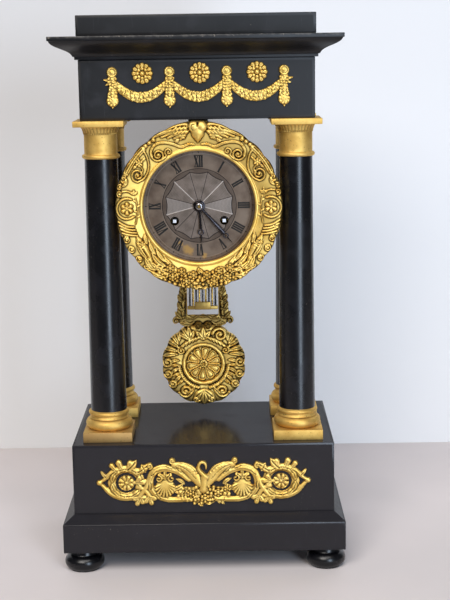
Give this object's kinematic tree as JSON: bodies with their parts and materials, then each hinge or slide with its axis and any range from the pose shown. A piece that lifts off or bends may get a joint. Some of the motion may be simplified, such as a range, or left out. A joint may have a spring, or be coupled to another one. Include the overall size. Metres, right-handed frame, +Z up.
{
  "type": "portico clock",
  "caption": "Four-column portico mantel clock: ebonised case, gilt mounts, engine-turned dial with moon hands, drum movement with bell and a compensation pendulum.",
  "frame": {"origin": "on the standing surface, under the middle of the clock", "axes": "+Z up, the dial faces -Y, +X to the right seen from the front"},
  "size_m": [0.2518, 0.1638, 0.4865],
  "materials": {
    "ebonised_wood": "French polished",
    "gilt_brass": "matt and burnished gilding",
    "movement_brass": "lacquered",
    "steel": "polished",
    "blued_steel": "blued",
    "silvered_dial": "engine turned, worn silvering",
    "bell_metal": "nickelled"
  },
  "bodies": {
    "case": {"foot_front_left": "ebonised_wood", "foot_front_right": "ebonised_wood", "foot_back_left": "ebonised_wood", "foot_back_right": "ebonised_wood", "base_plinth": "ebonised_wood", "base_box": "ebonised_wood", "base_mount": "gilt_brass", "column_base_front_left": "gilt_brass", "column_base_front_right": "gilt_brass", "column_base_back_left": "gilt_brass", "column_base_back_right": "gilt_brass", "column_shaft_front_left": "ebonised_wood", "column_shaft_front_right": "ebonised_wood", "column_shaft_back_left": "ebonised_wood", "column_shaft_back_right": "ebonised_wood", "column_capital_front_left": "gilt_brass", "column_capital_front_right": "gilt_brass", "column_capital_back_left": "gilt_brass", "column_capital_back_right": "gilt_brass", "column_tie_bolts": "steel", "frieze_box": "ebonised_wood", "cornice": "ebonised_wood", "attic": "ebonised_wood", "frieze_garland": "gilt_brass", "frieze_rosettes": "gilt_brass", "hanging_saddle": "ebonised_wood", "hanging_bolts": "steel", "movement_drum": "movement_brass", "bezel": "gilt_brass", "dial": "silvered_dial", "front_plate": "movement_brass", "back_plate": "movement_brass", "plate_pillars": "movement_brass", "bell": "bell_metal", "bell_stand": "steel", "suspension_cock": "movement_brass"},
    "minute_arbor": {"centre_wheel": "movement_brass", "cannon_pinion": "steel", "minute_hand": "blued_steel", "hand_nut": "steel"},
    "hour_pipe": {"hour_wheel": "movement_brass", "hour_hand": "blued_steel"},
    "minute_wheel": {"minute_wheel": "movement_brass"},
    "going_barrel": {"going_barrel": "movement_brass"},
    "going_arbor": {"going_arbor": "steel"},
    "intermediate_wheel": {"intermediate_wheel": "movement_brass"},
    "third_wheel": {"third_wheel": "movement_brass"},
    "escape_wheel": {"escape_wheel": "movement_brass"},
    "strike_barrel": {"strike_barrel": "movement_brass"},
    "strike_arbor": {"strike_arbor": "steel"},
    "strike_wheel": {"strike_wheel": "movement_brass", "count_wheel": "movement_brass"},
    "pallets": {"pallet_anchor": "steel"},
    "hammer": {"hammer": "steel"},
    "pendulum": {"suspension_spring": "steel", "pendulum_yoke": "gilt_brass", "pendulum_rods": "steel", "pendulum_frame": "gilt_brass", "pendulum_bob": "gilt_brass"}
  },
  "joints": [
    {"name": "minute_hand_turn", "type": "hinge", "parent": "case", "child": "minute_arbor", "pos_m": [0, 0, 0.323], "axis": [0, 1, 0], "continuous": true},
    {"name": "hour_hand_turn", "type": "hinge", "parent": "case", "child": "hour_pipe", "pos_m": [0, 0, 0.323], "axis": [0, 1, 0], "continuous": true},
    {"name": "minute_wheel_turn", "type": "hinge", "parent": "case", "child": "minute_wheel", "pos_m": [0.006, 0, 0.33339], "axis": [0, 1, 0], "continuous": true},
    {"name": "intermediate_wheel_turn", "type": "hinge", "parent": "case", "child": "intermediate_wheel", "pos_m": [0.01502, 0, 0.32852], "axis": [0, 1, 0], "continuous": true},
    {"name": "going_barrel_turn", "type": "hinge", "parent": "case", "child": "going_barrel", "pos_m": [0.0216, 0, 0.3098], "axis": [0, 1, 0], "continuous": true},
    {"name": "third_wheel_turn", "type": "hinge", "parent": "case", "child": "third_wheel", "pos_m": [-0.00628, 0, 0.33646], "axis": [0, 1, 0], "continuous": true},
    {"name": "escape_wheel_turn", "type": "hinge", "parent": "case", "child": "escape_wheel", "pos_m": [0, 0, 0.3478], "axis": [0, 1, 0], "continuous": true},
    {"name": "going_winding", "type": "hinge", "parent": "case", "child": "going_arbor", "pos_m": [0.0216, 0, 0.3098], "axis": [0, 1, 0], "continuous": true},
    {"name": "strike_winding", "type": "hinge", "parent": "case", "child": "strike_arbor", "pos_m": [-0.0216, 0, 0.3098], "axis": [0, 1, 0], "continuous": true},
    {"name": "strike_barrel_turn", "type": "hinge", "parent": "case", "child": "strike_barrel", "pos_m": [-0.0216, 0, 0.3098], "axis": [0, 1, 0], "continuous": true},
    {"name": "strike_wheel_turn", "type": "hinge", "parent": "case", "child": "strike_wheel", "pos_m": [-0.00243, 0, 0.30466], "axis": [0, 1, 0], "continuous": true},
    {"name": "pendulum_swing", "type": "hinge", "parent": "case", "child": "pendulum", "pos_m": [0, 0, 0.3588], "axis": [0, 1, 0], "range_deg": [-4, 4]},
    {"name": "pallet_rock", "type": "hinge", "parent": "case", "child": "pallets", "pos_m": [0, 0, 0.3588], "axis": [0, 1, 0], "range_deg": [-4, 4]},
    {"name": "hammer_lift", "type": "hinge", "parent": "case", "child": "hammer", "pos_m": [-0.037, 0, 0.329], "axis": [0, -1, 0], "range_deg": [0, 12]}
  ],
  "couplings": [
    {"joint": "hour_hand_turn", "follows": "minute_hand_turn", "ratio": 0.083333},
    {"joint": "minute_wheel_turn", "follows": "minute_hand_turn", "ratio": -0.33333},
    {"joint": "intermediate_wheel_turn", "follows": "minute_hand_turn", "ratio": -0.14286},
    {"joint": "going_barrel_turn", "follows": "minute_hand_turn", "ratio": 0.02381},
    {"joint": "third_wheel_turn", "follows": "minute_hand_turn", "ratio": -10},
    {"joint": "escape_wheel_turn", "follows": "minute_hand_turn", "ratio": 110},
    {"joint": "strike_wheel_turn", "follows": "strike_barrel_turn", "ratio": -6},
    {"joint": "pallet_rock", "follows": "pendulum_swing", "ratio": 1}
  ]
}
